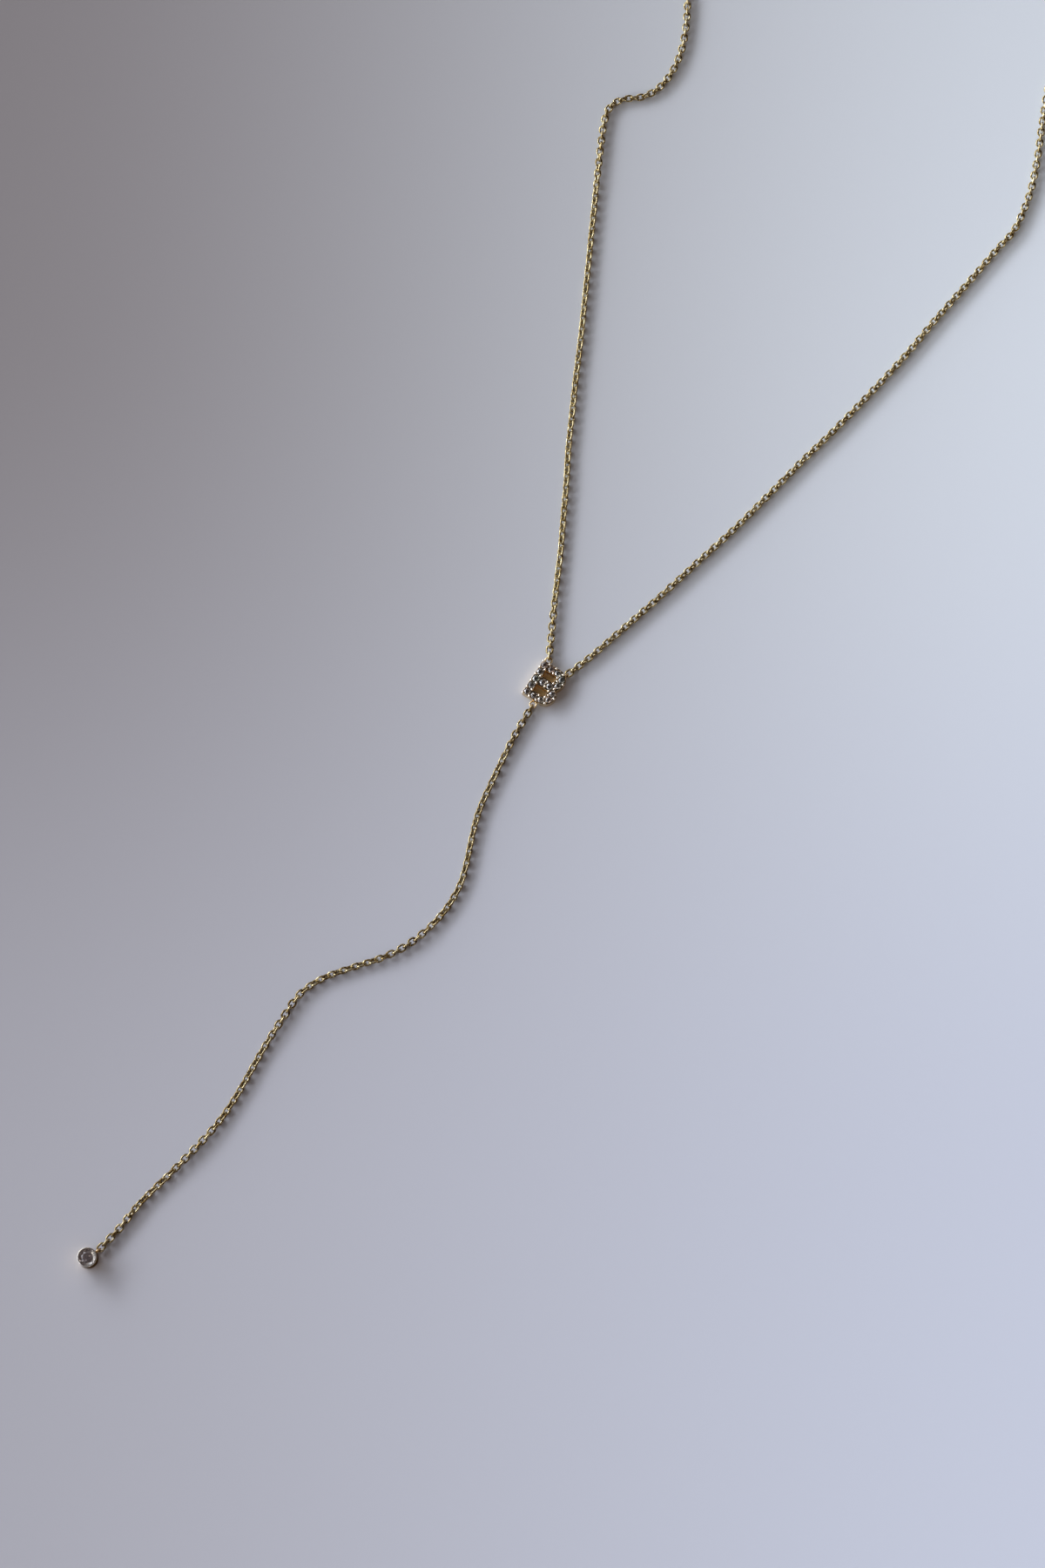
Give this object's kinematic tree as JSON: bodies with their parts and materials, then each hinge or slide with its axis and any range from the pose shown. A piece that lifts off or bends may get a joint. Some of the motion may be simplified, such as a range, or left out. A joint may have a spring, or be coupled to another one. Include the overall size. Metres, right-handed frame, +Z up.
{
  "type": "initial lariat necklace",
  "caption": "Fine cable-chain lariat necklace laid out flat, with a small stone-set initial at the join and a free drop that ends in a round stone in a cup.",
  "frame": {"origin": "middle of the letter's flat back, on the surface that the necklace lies on", "axes": "+Z up from the surface, out of the letter's front; +Y from the drop towards the clasp, along the whole necklace; +X to the right as the letter is seen from above"},
  "size_m": [0.1435, 0.2458, 0.0023],
  "materials": {
    "gold": "polished pale yellow gold",
    "stone": "cut and polished clear stone"
  },
  "bodies": {
    "root": {"letter_frame": "gold", "letter_stone_1": "stone", "letter_stone_2": "stone", "letter_stone_3": "stone", "letter_stone_4": "stone", "letter_stone_5": "stone", "letter_stone_6": "stone", "letter_stone_7": "stone", "letter_stone_8": "stone", "letter_stone_9": "stone", "letter_stone_10": "stone", "letter_stone_11": "stone", "letter_stone_12": "stone", "letter_stone_13": "stone", "letter_stone_14": "stone", "letter_stone_15": "stone", "neck_chain_left": "gold", "neck_chain_left_back": "gold", "neck_chain_right": "gold", "neck_chain_right_back": "gold", "clasp": "gold", "drop_chain": "gold", "drop_cup": "gold", "drop_stone": "stone"}
  },
  "joints": []
}
